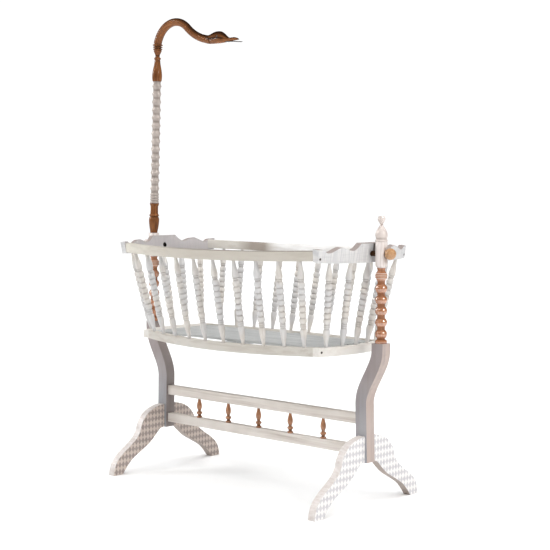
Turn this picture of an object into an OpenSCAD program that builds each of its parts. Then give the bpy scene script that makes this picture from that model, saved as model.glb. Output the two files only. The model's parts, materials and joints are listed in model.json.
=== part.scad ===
// Swinging bassinet on a stand with a swan-neck veil pole.
// Millimetres. Origin on the floor, midway between the two legs. +X points to the
// finial post, -X to the swan pole, -Y to the front, +Z up.

/* [Stand] */
// Distance between the axes of the two posts
post_span = 1016; // [1008:2:1040]
// Distance between the axes of the two legs near the floor
leg_span = 900; // [880:2:916]
// Leg thickness along the length of the stand
leg_t = 42; // [38:1:44]
// Leg width across the stand
leg_w = 38; // [36:1:44]
// Height of the lower end of each leg
leg_bottom_z = 138; // [134:1:142]
// Height of the square top of each leg
leg_top_z = 506; // [500:1:508]
// How far the lower leg leans inwards before it sweeps out
leg_lean = 4; // [0:1:8]
// Height where the outward sweep of the leg starts
sweep_start_z = 320; // [310:5:340]
// Height where the outward sweep of the leg ends
sweep_end_z = 485; // [470:5:496]
// Thickness of the foot boards
foot_t = 27; // [22:1:32]
// Reach of each foot from the middle of the stand to its toe
foot_reach = 251; // [240:1:262]
// Thickness of the two stretchers
stretcher_t = 21; // [18:1:24]
// Height of the top face of the lower stretcher
low_stretcher_top = 187; // [184:1:190]
// Height of the lower stretcher board
low_stretcher_h = 30; // [26:1:34]
// Height of the underside of the upper stretcher
high_stretcher_bottom = 253; // [250:1:258]
// Height of the upper stretcher board
high_stretcher_h = 32; // [28:1:36]
// Distance between neighbouring stretcher spindles
small_spindle_pitch = 140; // [120:2:150]

/* [Posts] */
// Height of the axis that the basket swings about
swing_z = 776; // [772:1:780]
// Diameter of the beads on the turned posts
post_bead_d = 37; // [34:1:38]
// Diameter of the necks between the beads
post_neck_d = 24; // [20:1:26]
// Diameter of the bearing blocks
block_d = 36.5; // [34:0.5:38]
// Diameter of the pivot pegs
peg_d = 16; // [14:0.5:17]
// Diameter of the ball knobs on the pegs
knob_d = 35; // [30:1:36]

/* [Basket] */
// Half the distance between the inside faces of the end panels, at their ends
panel_inner_x = 417; // [412:1:422]
// Half the length of an end panel along its top
panel_half = 212; // [210:1:214]
// Thickness of the end panels
panel_t = 20; // [18:1:22]
// How far the end panels bow outwards
panel_bow = 34; // [28:1:36]
// Angle at which the end panels lean outwards
panel_lean = 7; // [4:0.5:9]
// Height of the lower edge of the end panels, at their ends
panel_bottom_z = 755; // [752:1:758]
// Distance from the centre plane to the middle of a top rail, at its ends
top_rail_y = 197; // [194:1:199]
// How far the top rails bow outwards
top_rail_bow = 59; // [50:1:64]
// Angle at which the top rails lean outwards
top_rail_tilt = 6.5; // [4:0.5:9]
// Thickness of the side and end rails
rail_t = 20; // [18:1:22]
// Height of the top rails
top_rail_h = 29; // [26:1:32]
// Height of the middle of the top rails, at their ends
top_rail_z = 773.5; // [771:0.5:776]
// Half the distance between the inside faces of the bottom end rails, at their ends
end_rail_inner_x = 368; // [364:1:372]
// Half the length of a bottom end rail
end_rail_half = 152; // [150:1:155]
// How far the bottom end rails bow outwards
end_rail_bow = 33; // [28:1:40]
// Distance from the centre plane to the middle of a bottom side rail, at its ends
low_rail_y = 142; // [140:1:143]
// How far the bottom side rails bow outwards
low_rail_bow = 60; // [50:1:64]
// Angle at which the bottom side rails lean outwards
low_rail_tilt = 5; // [3:0.5:7]
// Height of the bottom rails
low_rail_h = 26; // [24:1:30]
// Height of the middle of the bottom rails, at their ends
low_rail_z = 481; // [479:1:483]
// Distance between side spindles at the middle of a top rail
top_pitch = 87; // [84:0.5:88]
// How quickly the side spindles close up towards the ends of a top rail
top_closing = 0.26; // [0:0.01:0.3]
// Distance between side spindles at the middle of a bottom rail
low_pitch = 81.5; // [78:0.5:82]
// How quickly the side spindles close up towards the ends of a bottom rail
low_closing = 0.34; // [0.3:0.01:0.4]
// Distance between the end spindles where they meet the panel
end_top_pitch = 79.5; // [74:0.5:80]
// Distance between the end spindles where they meet the bottom end rail
end_low_pitch = 59; // [56:0.5:60]
// Diameter of the beads on the spindles
spindle_bead_d = 23; // [20:1:24]
// Diameter of the tenons at the ends of the spindles
tenon_d = 8; // [6:0.5:9]
// Number of floor slats
slat_count = 9; // [7:1:10]
// Width of a floor slat
slat_w = 26; // [20:1:27]
// Gap between floor slats
slat_gap = 3; // [2:0.5:4]
// Thickness of a floor slat
slat_t = 7; // [6:0.5:8]

/* [Swan pole] */
// Angle at which the pole leans over the basket
pole_lean = 2.3; // [0:0.1:3]
// Number of bobbins on the white shaft
bobbin_count = 14; // [12:1:14]
// Distance between bobbins
bobbin_pitch = 27.3; // [26:0.1:27.5]
// Diameter of the bobbins
bobbin_d = 32; // [30:1:34]
// Diameter of the swan's neck
neck_d = 28; // [24:1:30]

/* [Hidden] */
$fn = 64;

post_x = post_span / 2;
leg_x = leg_span / 2;
// Diametral clearance of a running fit, and of a glued tenon in its hole
fit = 0.1;
far = [-1, 1, 1];
cream = "#e2ded6";
greige = "#d9d0c6";
taupe = "#a39b98";
honey = "#c98a5c";
walnut = "#8d6247";
floor_blue = "#b4bbbe";
dark = "#3b3634";

// ---- shared curves ---------------------------------------------------------

function smooth(t) = t * t * (3 - 2 * t);
function clamp01(t) = min(1, max(0, t));

// Catmull-Rom curve through a list of points, n steps to each stretch
function knot(p, i) = p[min(len(p) - 1, max(0, i))];
function blend4(a, b, c, d, t) =
    b + t * (c - a) / 2
    + t * t * (2 * a - 5 * b + 4 * c - d) / 2
    + t * t * t * (3 * b - a - 3 * c + d) / 2;
function curve(p, n) = concat(
    [for (i = [0:len(p) - 2], j = [0:n - 1])
        blend4(knot(p, i - 1), p[i], p[i + 1], knot(p, i + 2), j / n)],
    [p[len(p) - 1]]
);
function reversed(p) = [for (i = [len(p) - 1:-1:0]) p[i]];

// Bow of an arc of chord 2*half and sagitta bow, at distance s from its middle
function arc_r(half, bow) = (half * half + bow * bow) / (2 * bow);
function arc_out(half, bow, s) =
    bow - arc_r(half, bow) + sqrt(pow(arc_r(half, bow), 2) - s * s);

// Turned piece about +Z from a list of [radius, height] points
module turned(outline) {
    bottom = outline[0][1];
    top = outline[len(outline) - 1][1];
    rotate_extrude()
        polygon(concat([[0, bottom]], outline, [[0, top]]));
}

// Outline in the YZ plane, extruded along X from x
module board_yz(x, t, outline) {
    translate([x, 0, 0])
        rotate([90, 0, 90])
            linear_extrude(t)
                polygon(outline);
}

module mirror_x(on) {
    if (on)
        mirror([1, 0, 0]) children();
    else
        children();
}

module mirror_y(on) {
    if (on)
        mirror([0, 1, 0]) children();
    else
        children();
}

// Places children with their +Z from point a towards point b
module along(a, b) {
    d = b - a;
    translate(a)
        rotate([0, acos(d[2] / norm(d)), atan2(d[1], d[0])])
            children();
}

// ---- stand -----------------------------------------------------------------

mortise_depth = 14;
mortise_w = 12;
mortise_h = 20;
foot_tenon = [14, 12, 56];
foot_tenon_z = 152;
post_dowel_d = 16;
post_dowel_l = 30;

function leg_mid(z) =
    leg_x - leg_lean * clamp01((z - leg_bottom_z) / (sweep_start_z - leg_bottom_z))
    + (post_x - leg_x + leg_lean)
        * smooth(clamp01((z - sweep_start_z) / (sweep_end_z - sweep_start_z)));
function leg_angle(z) = atan((leg_mid(z + 1) - leg_mid(z - 1)) / 2);
function leg_edge(z, side) = [
    leg_mid(z) + side * leg_t / 2 * cos(leg_angle(z)),
    z - side * leg_t / 2 * sin(leg_angle(z))
];
sweep_steps = 20;
leg_heights = [for (i = [0:sweep_steps])
    sweep_start_z + (sweep_end_z - sweep_start_z) * i / sweep_steps];

// The S-shaped leg before any joint is cut in it
module leg_blank() {
    inner = concat(
        [[leg_mid(leg_bottom_z) - leg_t / 2, leg_bottom_z]],
        [for (z = leg_heights) leg_edge(z, -1)],
        [[post_x - leg_t / 2, leg_top_z]]
    );
    outer = concat(
        [[leg_mid(leg_bottom_z) + leg_t / 2, leg_bottom_z]],
        [for (z = leg_heights) leg_edge(z, 1)],
        [[post_x + leg_t / 2, leg_top_z]]
    );
    rotate([90, 0, 0])
        linear_extrude(leg_w, center = true)
            polygon(concat(outer, reversed(inner)));
}

// Hole in the leg for the tenon of a stretcher whose mid height is z
module stretcher_mortise(z) {
    inner_x = leg_mid(z) - leg_t / 2;
    translate([inner_x - 2, -(mortise_w + fit) / 2, z - (mortise_h + fit) / 2])
        cube([mortise_depth + 3, mortise_w + fit, mortise_h + fit]);
}

module foot_mortise() {
    grown = foot_tenon + [fit, fit, fit];
    translate([leg_x - grown[0] / 2, leg_w / 2 - grown[1], foot_tenon_z - fit / 2])
        cube(grown + [0, 1, 0]);
}

low_stretcher_z = low_stretcher_top - low_stretcher_h / 2;
high_stretcher_z = high_stretcher_bottom + high_stretcher_h / 2;

module leg(is_far) {
    color(taupe)
        mirror_x(is_far)
            difference() {
                leg_blank();
                stretcher_mortise(low_stretcher_z);
                stretcher_mortise(high_stretcher_z);
                foot_mortise();
                mirror([0, 1, 0])
                    foot_mortise();
                translate([post_x, 0, leg_top_z - post_dowel_l - 1])
                    cylinder(h = post_dowel_l + 3, d = post_dowel_d + fit);
            }
}

// Scrolled foot: over the shoulder, down the waist and out to the toe
foot_top_knots = [
    [19, 219], [48, 216], [80, 205], [107, 186], [124, 161], [132, 136],
    [149, 114], [180, 91], [213, 69], [237, 45], [248, 20], [foot_reach, 0]
];
foot_under_knots = [
    [19, 139], [40, 134], [63, 113], [92, 89], [135, 65], [170, 44], [195, 20], [211, 0]
];

module foot(is_far, is_back) {
    outline = concat(curve(foot_top_knots, 4), reversed(curve(foot_under_knots, 4)));
    color(cream)
        mirror_x(is_far)
            mirror_y(!is_back) {
                board_yz(leg_x - foot_t / 2, foot_t, outline);
                translate([leg_x - foot_tenon[0] / 2, leg_w / 2 - foot_tenon[1], foot_tenon_z])
                    cube(foot_tenon + [0, 1, 0]);
            }
}

// A stretcher with a stub tenon at each end
module stretcher(z, h) {
    half = leg_x - 2;
    tenon_half = leg_mid(z) - leg_t / 2 + mortise_depth;
    color(greige)
        difference() {
            union() {
                difference() {
                    translate([-half, -stretcher_t / 2, z - h / 2])
                        cube([2 * half, stretcher_t, h]);
                    leg_blank();
                    mirror([1, 0, 0])
                        leg_blank();
                }
                translate([-tenon_half, -mortise_w / 2, z - mortise_h / 2])
                    cube([2 * tenon_half, mortise_w, mortise_h]);
            }
            for (i = [-2:2])
                translate([i * small_spindle_pitch, 0, low_stretcher_top - small_tenon_l - 0.5])
                    cylinder(h = small_span + 2 * small_tenon_l + 1, d = small_tenon_d + fit);
        }
}

small_tenon_d = 6;
small_tenon_l = 8;
small_span = high_stretcher_bottom - low_stretcher_top;
small_knots = [
    [9.5, 0], [9.5, 4], [5.5, 6.5], [5, 9], [7.5, 12.5], [9.7, 16], [9.2, 19],
    [6.2, 21.5], [5, 24], [7, 30], [8.8, 37], [8.4, 44], [6.2, 54], [4.6, 62], [4.3, 66]
];

module stretcher_spindle(i) {
    color(honey)
        translate([(i - 3) * small_spindle_pitch, 0, low_stretcher_top]) {
            turned([for (p = small_knots) [p[0], p[1] * small_span / 66]]);
            translate([0, 0, -small_tenon_l])
                cylinder(h = small_span + 2 * small_tenon_l, d = small_tenon_d);
        }
}

// ---- posts -----------------------------------------------------------------

block_bottom_z = 734;
block_top_z = 812;
// The far block is a little taller, where the finial has its collar
far_block_top_z = 816;
block_dowel_d = 14;
block_dowel_l = 16;
cap_dowel_d = 10;
cap_dowel_l = 15;
post_bead_z = [534, 569, 603.5, 637, 671];

module post_turning(is_far) {
    color(honey)
        mirror_x(is_far)
            translate([post_x, 0, 0]) {
                translate([0, 0, leg_top_z - post_dowel_l])
                    cylinder(h = post_dowel_l + 1, d = post_dowel_d);
                translate([0, 0, leg_top_z])
                    turned([
                        [18.5, 0], [18.5, 8], [16, 10.5], [post_neck_d / 2, 12],
                        [post_neck_d / 2, block_bottom_z - leg_top_z]
                    ]);
                for (z = post_bead_z)
                    translate([0, 0, z])
                        sphere(d = post_bead_d);
                translate([0, 0, 710])
                    turned([[12, -14], [17, -7], [18.5, -3], [18.5, 3], [17, 7], [12, 14]]);
                translate([0, 0, block_bottom_z - 1])
                    cylinder(h = block_dowel_l + 1, d = block_dowel_d);
            }
}

module bearing_block(is_far) {
    top = is_far ? far_block_top_z : block_top_z;
    r = block_d / 2;
    color(cream)
        mirror_x(is_far)
            difference() {
                translate([post_x, 0, 0])
                    turned([
                        [13, block_bottom_z], [r - 2.5, block_bottom_z + 2], [r - 0.6, block_bottom_z + 6],
                        [r, block_bottom_z + 11], [r, top - 1], [r - 1, top]
                    ]);
                translate([post_x - 30, 0, swing_z])
                    rotate([0, 90, 0])
                        cylinder(h = 60, d = peg_d + fit);
                translate([post_x, 0, block_bottom_z - 1])
                    cylinder(h = block_dowel_l + 2, d = block_dowel_d + fit);
                if (is_far)
                    mirror([1, 0, 0])
                        pole_frame()
                            translate([0, 0, -pole_dowel_l - 1])
                                cylinder(h = pole_dowel_l + 5, d = pole_dowel_d + fit);
                else
                    translate([post_x, 0, block_top_z - cap_dowel_l - 1])
                        cylinder(h = cap_dowel_l + 2, d = cap_dowel_d + fit);
            }
}

finial_knots = [
    [18.2, 6], [16.2, 8.5], [17.4, 14], [18.5, 21], [18, 27], [15, 34], [10.5, 41],
    [6, 47], [4.5, 52], [5.5, 56], [9.5, 60.5], [11.5, 66], [10.8, 72], [7, 77]
];

module finial() {
    color(cream)
        translate([post_x, 0, block_top_z]) {
            turned(concat([[17.6, 0], [18.2, 1]], curve(finial_knots, 2), [[3, 78]]));
            translate([0, 0, -cap_dowel_l])
                cylinder(h = cap_dowel_l + 1, d = cap_dowel_d);
        }
}

// Peg with a ball knob; its shoulder stops on the block and its end sits inside the panel
knob_x = post_x + 34;
peg_shoulder_x = post_x + block_d / 2 + 0.4;
peg_end_x = post_x - 48;

module pivot_peg(is_far) {
    color(honey)
        mirror_x(is_far)
            translate([0, 0, swing_z])
                rotate([0, 90, 0]) {
                    intersection() {
                        translate([0, 0, knob_x])
                            sphere(d = knob_d);
                        translate([0, 0, peg_shoulder_x])
                            cylinder(h = knob_d, d = 2 * knob_d);
                    }
                    translate([0, 0, peg_end_x])
                        cylinder(h = knob_x - peg_end_x, d = peg_d);
                }
}

// ---- basket frame ----------------------------------------------------------

module panel_frame() {
    translate([panel_inner_x, 0, swing_z])
        rotate([0, panel_lean, 0])
            translate([-panel_inner_x, 0, -swing_z])
                children();
}

panel_r = arc_r(panel_half, panel_bow);
panel_centre_x = panel_inner_x + panel_bow - panel_r;
panel_top_z = 813.5;
panel_dip_z = 792;
panel_crest_z = 801.5;
panel_end_dip_z = 785;
panel_horn_z = 794.5;
flat_half = 51;
dip_y = 84;
crest_y = 126;
end_dip_y = 174;
horn_y = 192;
// How much shorter the panel is along its lower edge, at each end
panel_undercut = 6;

// Height of the scalloped top edge at distance y from the middle of the panel
function scallop(y) =
    y <= flat_half ? panel_top_z
    : y <= dip_y ? panel_dip_z
        + (panel_top_z - panel_dip_z) * (1 - sin(90 * (y - flat_half) / (dip_y - flat_half)))
    : y <= crest_y ? panel_dip_z
        + (panel_crest_z - panel_dip_z) * smooth((y - dip_y) / (crest_y - dip_y))
    : y <= end_dip_y ? panel_crest_z
        - (panel_crest_z - panel_end_dip_z) * smooth((y - crest_y) / (end_dip_y - crest_y))
    : y < horn_y ? panel_horn_z
        - (panel_horn_z - panel_end_dip_z) * sin(90 * (horn_y - y) / (horn_y - end_dip_y))
    : panel_horn_z;
scallop_half = concat(
    [flat_half],
    [for (y = [flat_half + 3:4:end_dip_y - 2]) y],
    [for (i = [0:4]) end_dip_y + (horn_y - end_dip_y) * i / 4],
    [panel_half]
);
panel_outline = concat(
    [[panel_undercut - panel_half, panel_bottom_z]],
    [for (y = reversed(scallop_half)) [-y, scallop(y)]],
    [for (y = scallop_half) [y, scallop(y)]],
    [[panel_half - panel_undercut, panel_bottom_z]]
);

screw_d = 3.5;
screw_head_d = 7.5;
screw_y = 201;
screw_z = 767;
low_screw_y = 142;

// Everything inside the inner face of the near end panel, grown by g
module inside_panel(g) {
    panel_frame()
        translate([panel_centre_x, 0, panel_bottom_z - 300])
            cylinder(h = 600, r = panel_r + g, $fn = 256);
}

module end_panel(is_far) {
    color(cream)
        mirror_x(is_far)
            difference() {
                panel_frame()
                    difference() {
                        intersection() {
                            board_yz(panel_inner_x - 20, 100, panel_outline);
                            translate([panel_centre_x, 0, panel_bottom_z - 40])
                                cylinder(h = 120, r = panel_r + panel_t, $fn = 256);
                        }
                        translate([panel_centre_x, 0, panel_bottom_z - 50])
                            cylinder(h = 140, r = panel_r, $fn = 256);
                        for (s = [-1, 1])
                            translate([0, s * screw_y, 0])
                                screw_hole(panel_face_x(screw_y), screw_z);
                    }
                translate([panel_inner_x, 0, swing_z])
                    rotate([0, 90, 0])
                        cylinder(h = 80, d = peg_d + fit);
                end_spindle_holes();
            }
}

// Outer face of the end panel in its own frame
function panel_face_x(y) =
    panel_centre_x + sqrt(pow(panel_r + panel_t, 2) - y * y);

screw_l = 46;
head_l = 3;
// Flat face of the screw head below the surface of the wood
head_set = 0.6;

module screw_hole(x, z) {
    translate([x - screw_l - 1, 0, z])
        rotate([0, 90, 0])
            cylinder(h = screw_l + 2, d = screw_d + fit);
    translate([x - head_l - head_set, 0, z])
        rotate([0, 90, 0])
            cylinder(h = head_l + 8, d = screw_head_d + fit);
}

module screw(x, z) {
    translate([x - screw_l, 0, z])
        rotate([0, 90, 0])
            cylinder(h = screw_l - head_set - 1, d = screw_d);
    translate([x - head_l - head_set, 0, z])
        rotate([0, 90, 0])
            cylinder(h = head_l, d = screw_head_d);
}

// Turns children about the X direction, through the ends of a front rail
module rail_frame(y, z, tilt) {
    translate([0, -y, z])
        rotate([tilt, 0, 0])
            children();
}

// Bowed front rail: chord half, middle line through the frame's origin at its ends
module bowed_rail(half, bow, h) {
    r = arc_r(half, bow);
    translate([0, r - bow, -h / 2])
        intersection() {
            difference() {
                cylinder(h = h, r = r + rail_t / 2, $fn = 360);
                translate([0, 0, -1])
                    cylinder(h = h + 2, r = r - rail_t / 2, $fn = 360);
            }
            translate([-half - 30, -r - 40, -2])
                cube([2 * half + 60, bow + 90, h + 4]);
        }
}

// Point of a front rail: x along it, z above its middle, in the part's frame
function rail_point(x, y, z, tilt, half, bow, up) =
    let (out = arc_out(half, bow, x))
    [x, -y - out * cos(tilt) - up * sin(tilt), z - out * sin(tilt) + up * cos(tilt)];

module top_rail(is_back) {
    color(cream)
        mirror_y(is_back)
            difference() {
                intersection() {
                    rail_frame(top_rail_y, top_rail_z, top_rail_tilt)
                        bowed_rail(panel_inner_x, top_rail_bow, top_rail_h);
                    inside_panel(-0.02);
                    mirror([1, 0, 0])
                        inside_panel(-0.02);
                }
                side_spindle_holes();
                for (m = [0, 1])
                    mirror([m, 0, 0])
                        panel_frame()
                            translate([0, -screw_y, 0])
                                screw_hole(panel_face_x(screw_y), screw_z);
            }
}

end_rail_r = arc_r(end_rail_half, end_rail_bow);
end_rail_t = 22;
end_rail_centre_x = end_rail_inner_x + end_rail_bow - end_rail_r;

module inside_end_rail(g) {
    translate([end_rail_centre_x, 0, low_rail_z - 40])
        cylinder(h = 80, r = end_rail_r + g, $fn = 180);
}

module bottom_rail(is_back) {
    color(cream)
        mirror_y(is_back)
            difference() {
                intersection() {
                    rail_frame(low_rail_y, low_rail_z, low_rail_tilt)
                        bowed_rail(end_rail_inner_x, low_rail_bow, low_rail_h);
                    translate([-500, -300, low_rail_z - 60])
                        cube([1000, 300, 120]);
                    bottom_rail_stop();
                    mirror([1, 0, 0])
                        bottom_rail_stop();
                }
                side_spindle_holes();
                for (m = [0, 1])
                    mirror([m, 0, 0])
                        translate([0, -low_screw_y, 0])
                            screw_hole(end_rail_face_x(low_screw_y), low_rail_z);
            }
}

// Space that a bottom side rail may fill before it meets the near end rail
module bottom_rail_stop() {
    union() {
        inside_end_rail(-0.02);
        translate([-600, -300, low_rail_z - 60])
            cube([600 + end_rail_inner_x - 60, 300, 120]);
    }
}

function end_rail_face_x(y) =
    end_rail_centre_x + sqrt(pow(end_rail_r + end_rail_t, 2) - y * y);

module bottom_end_rail(is_far) {
    color(cream)
        mirror_x(is_far)
            difference() {
                intersection() {
                    translate([end_rail_centre_x, 0, low_rail_z - low_rail_h / 2])
                        cylinder(h = low_rail_h, r = end_rail_r + end_rail_t, $fn = 180);
                    translate([end_rail_inner_x - 20, -end_rail_half, low_rail_z - 40])
                        cube([120, 2 * end_rail_half, 80]);
                }
                inside_end_rail(0);
                for (s = [-1, 1])
                    translate([0, s * low_screw_y, 0])
                        screw_hole(end_rail_face_x(low_screw_y), low_rail_z);
                end_spindle_holes();
            }
}

module corner_screws() {
    color(dark)
        for (m = [0, 1], s = [-1, 1])
            mirror([m, 0, 0]) {
                panel_frame()
                    translate([0, s * screw_y, 0])
                        screw(panel_face_x(screw_y), screw_z);
                translate([0, s * low_screw_y, 0])
                    screw(end_rail_face_x(low_screw_y), low_rail_z);
            }
}

// ---- basket floor ----------------------------------------------------------

slat_top_z = 491;
floor_half = end_rail_inner_x - 2;
batten_t = 15;
batten_w = 30;
batten_x = [-320, 0, 320];

module floor_slats() {
    pitch = slat_w + slat_gap;
    color(floor_blue)
        for (i = [0:slat_count - 1])
            translate([-floor_half, (i - (slat_count - 1) / 2) * pitch - slat_w / 2, slat_top_z - slat_t])
                cube([2 * floor_half, slat_w, slat_t]);
}

// Space between the inside faces of the two bottom side rails
module between_bottom_rails() {
    r = arc_r(end_rail_inner_x, low_rail_bow);
    intersection_for(m = [0, 1])
        mirror([0, m, 0])
            rail_frame(low_rail_y, low_rail_z, low_rail_tilt)
                translate([0, r - low_rail_bow, -60])
                    cylinder(h = 120, r = r - rail_t / 2 - 0.02, $fn = 360);
}

module floor_battens() {
    color(floor_blue)
        intersection() {
            for (x = batten_x)
                translate([x - batten_w / 2, -250, slat_top_z - slat_t - batten_t])
                    cube([batten_w, 500, batten_t]);
            between_bottom_rails();
        }
}

// ---- spindles --------------------------------------------------------------

// Gap that keeps the sloping shoulders of a spindle clear of the rails
shoulder_gap = 0.7;
tenon_l = 9;

function spread(k, pitch, closing) = pitch * k - closing * k * k * k;
function side_top(i) = rail_point(
    spread(i - 5.5, top_pitch, top_closing), top_rail_y, top_rail_z, top_rail_tilt,
    panel_inner_x, top_rail_bow, -top_rail_h / 2
);
function side_foot(i) = rail_point(
    spread(i - 5.5, low_pitch, low_closing), low_rail_y, low_rail_z, low_rail_tilt,
    end_rail_inner_x, low_rail_bow, low_rail_h / 2
);

// Underside of the near end panel, mid thickness, in the part's frame
function panel_under(y) =
    let (
        x = panel_centre_x + sqrt(pow(panel_r + panel_t / 2, 2) - y * y) - panel_inner_x,
        z = panel_bottom_z - swing_z
    )
    [
        panel_inner_x + x * cos(panel_lean) + z * sin(panel_lean),
        y,
        swing_z - x * sin(panel_lean) + z * cos(panel_lean)
    ];
// Distance of the end spindles from the inner face of the bottom end rail
end_foot_in = 9;
function end_top(k) = panel_under(k * end_top_pitch);
function end_foot(k) = [
    end_rail_centre_x + sqrt(pow(end_rail_r + end_foot_in, 2) - pow(k * end_low_pitch, 2)),
    k * end_low_pitch,
    low_rail_z + low_rail_h / 2
];

// Bobbin spindle standing on z = 0: inverted vase, rings, seven beads, ring, vase
bead_count = 7;
module spindle(len) {
    low = shoulder_gap;
    high = len - shoulder_gap;
    first_bead = 0.315 * len;
    bead_pitch = 0.0685 * len;
    translate([0, 0, -tenon_l])
        cylinder(h = len + 2 * tenon_l, d = tenon_d);
    turned([
        [5, low], [6.5, 0.06 * len], [9.3, 0.13 * len], [10.5, 0.175 * len], [9.8, 0.21 * len],
        [7, 0.225 * len], [9.5, 0.235 * len], [9.5, 0.248 * len], [7.5, 0.252 * len],
        [9.5, 0.258 * len], [9.5, 0.27 * len], [7, 0.28 * len]
    ]);
    for (i = [0:bead_count - 1])
        translate([0, 0, first_bead + i * bead_pitch])
            sphere(d = spindle_bead_d);
    turned([
        [7, 0.765 * len], [9.5, 0.777 * len], [9.5, 0.792 * len], [8, 0.797 * len],
        [10.2, 0.808 * len], [10.5, 0.835 * len], [9.2, 0.875 * len], [6.8, 0.93 * len],
        [5.2, 0.975 * len], [5, high]
    ]);
}

// Holes for the two tenons of a spindle from a to b; turn is how the lower one was bored
module tenon_holes(a, b, turn = 0) {
    along(a, b) {
        translate([0, 0, -tenon_l - 0.5])
            rotate([0, 0, turn])
                cylinder(h = tenon_l + 3, d = tenon_d + fit);
        translate([0, 0, norm(b - a) - 3])
            cylinder(h = tenon_l + 3.5, d = tenon_d + fit);
    }
}

module side_spindle_holes() {
    for (i = [1:10])
        tenon_holes(side_foot(i), side_top(i));
}

module end_spindle_holes() {
    for (k = [-2:2])
        tenon_holes(end_foot(k), end_top(k), 25);
}

module side_spindle(i, is_back) {
    a = side_foot(i);
    b = side_top(i);
    color(cream)
        mirror_y(is_back)
            along(a, b)
                spindle(norm(b - a));
}

module end_spindles(is_far) {
    color(cream)
        mirror_x(is_far)
            for (k = [-2:2])
                along(end_foot(k), end_top(k))
                    spindle(norm(end_top(k) - end_foot(k)));
}

// ---- swan pole -------------------------------------------------------------

pole_dowel_d = 14;
pole_dowel_l = 22;
joint_dowel_d = 11;
joint_dowel_l = 18;
neck_dowel_l = 9;
base_top = 104;
shaft_top = 527.5;
baluster_top = 656.5;

module pole_frame() {
    translate([-post_x, 0, far_block_top_z])
        rotate([0, pole_lean, 0])
            children();
}

module joint_dowel(z, l = joint_dowel_l) {
    translate([0, 0, z - 1])
        cylinder(h = l + 1, d = joint_dowel_d);
}

module joint_hole(z, l = joint_dowel_l) {
    translate([0, 0, z - 1])
        cylinder(h = l + 2, d = joint_dowel_d + fit);
}

base_knots = [
    [12.5, 1], [14, 10], [16.3, 24], [17.8, 40], [17.6, 50], [16, 55], [14, 57.5],
    [16.8, 60], [16.8, 63], [13.8, 66], [13.3, 80], [13.5, 93], [15.7, 98], [16, base_top]
];

module pole_base() {
    color(walnut)
        pole_frame() {
            turned(base_knots);
            translate([0, 0, -pole_dowel_l])
                cylinder(h = pole_dowel_l + 2, d = pole_dowel_d);
            joint_dowel(base_top);
        }
}

ring_count = 4;
ring_pitch = 9;
first_bobbin = 156;
bobbin_neck_r = 12.5;

module pole_shaft() {
    bobbin_r = bobbin_d / 2;
    rings = [for (i = [0:ring_count - 1], p = [[13.2, 0], [15, 2.5], [15, 5.5], [13.2, 8]])
        [p[0], base_top + i * ring_pitch + p[1]]];
    bobbins = [for (i = [0:bobbin_count - 1], p = [[bobbin_neck_r, -0.5], [14.6, -0.22],
            [bobbin_r, -0.04], [bobbin_r, 0.04], [14.6, 0.22]])
        [p[0], first_bobbin + (i + p[1]) * bobbin_pitch]];
    color(cream)
        pole_frame()
            difference() {
                union() {
                    turned(concat(rings, bobbins, [[13, shaft_top - 5], [13.5, shaft_top]]));
                    joint_dowel(shaft_top);
                }
                joint_hole(base_top);
            }
}

baluster_knots = [
    [15.5, 0], [16.6, 8], [17, 21], [16, 34], [13.5, 48], [10.8, 64], [9.8, 76],
    [11.5, 78], [11.5, 81], [8, 83.5], [7.5, 88], [10, 94.5], [13.3, 103], [13.5, 108],
    [14.8, 111], [15.2, 114], [13.6, 117], [15.6, 120], [15.6, 123], [14, 125.5], [14, 129]
];

module pole_baluster() {
    color(walnut)
        pole_frame()
            difference() {
                union() {
                    turned([for (p = baluster_knots) [p[0], shaft_top + p[1]]]);
                    joint_dowel(baluster_top, neck_dowel_l);
                }
                joint_hole(shaft_top);
            }
}

// The neck rises over a round crown, then sweeps down and levels out to the head
crown_r = 92;
crown_x = 89;
crown_z = 636;
crown_fall = 40;
sweep_drop = 43.5;
sweep_r = sweep_drop / (1 - cos(crown_fall));
head_x = crown_x + (crown_r + sweep_r) * sin(crown_fall);
head_z = crown_z + (crown_r + sweep_r) * cos(crown_fall) - sweep_r;
rise_angle = asin((baluster_top - crown_z) / crown_r);
// The crown runs on this far below the baluster's top, where it is cut off flat
rise_trim = 7;

// The neck is slimmer where it sweeps down to the head
sweep_d = neck_d - 1.4;

// Part of a ring in the XZ plane about [x, z], from angle a through span degrees
module bend(x, z, r, a, span, d) {
    translate([x, 0, z])
        rotate([90, 0, 0])
            rotate([0, 0, a])
                rotate_extrude(angle = span, $fn = 96)
                    translate([r, 0])
                        circle(d = d);
}

module swan_neck() {
    color(walnut)
        pole_frame()
            difference() {
                union() {
                    bend(crown_x, crown_z, crown_r, 90 - crown_fall,
                        90 + crown_fall - rise_angle + rise_trim, neck_d);
                    bend(head_x, head_z + sweep_r, sweep_r, -90 - crown_fall, crown_fall, sweep_d);
                }
                joint_hole(baluster_top, neck_dowel_l);
                translate([-50, -50, baluster_top - 60])
                    cube([100, 100, 60]);
            }
}

// Head and bill about their own axis, from the end of the neck
bill_gap_x = 68;
head_knots = [
    [14, 0.3], [15.5, 12], [18.5, 22], [20.5, 34], [18, 52], [13, 66], [9.5, 75],
    [7, 86], [6, 104], [5, 120], [2.5, 129]
];

module head_frame() {
    pole_frame()
        translate([head_x, 0, head_z])
            rotate([0, 90, 0])
                children();
}

module swan_head() {
    color(walnut)
        head_frame()
            difference() {
                turned(head_knots);
                translate([0, -30, bill_gap_x])
                    cube([30, 60, 100]);
            }
}

module swan_lower_bill() {
    color(dark)
        head_frame()
            intersection() {
                turned([[9, 69], [7, 84], [5, 104], [4, 122], [2.4, 136], [1, 143]]);
                translate([0.4, -30, bill_gap_x + 0.4])
                    cube([30, 60, 110]);
            }
}

// ---- drawing ---------------------------------------------------------------

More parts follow.
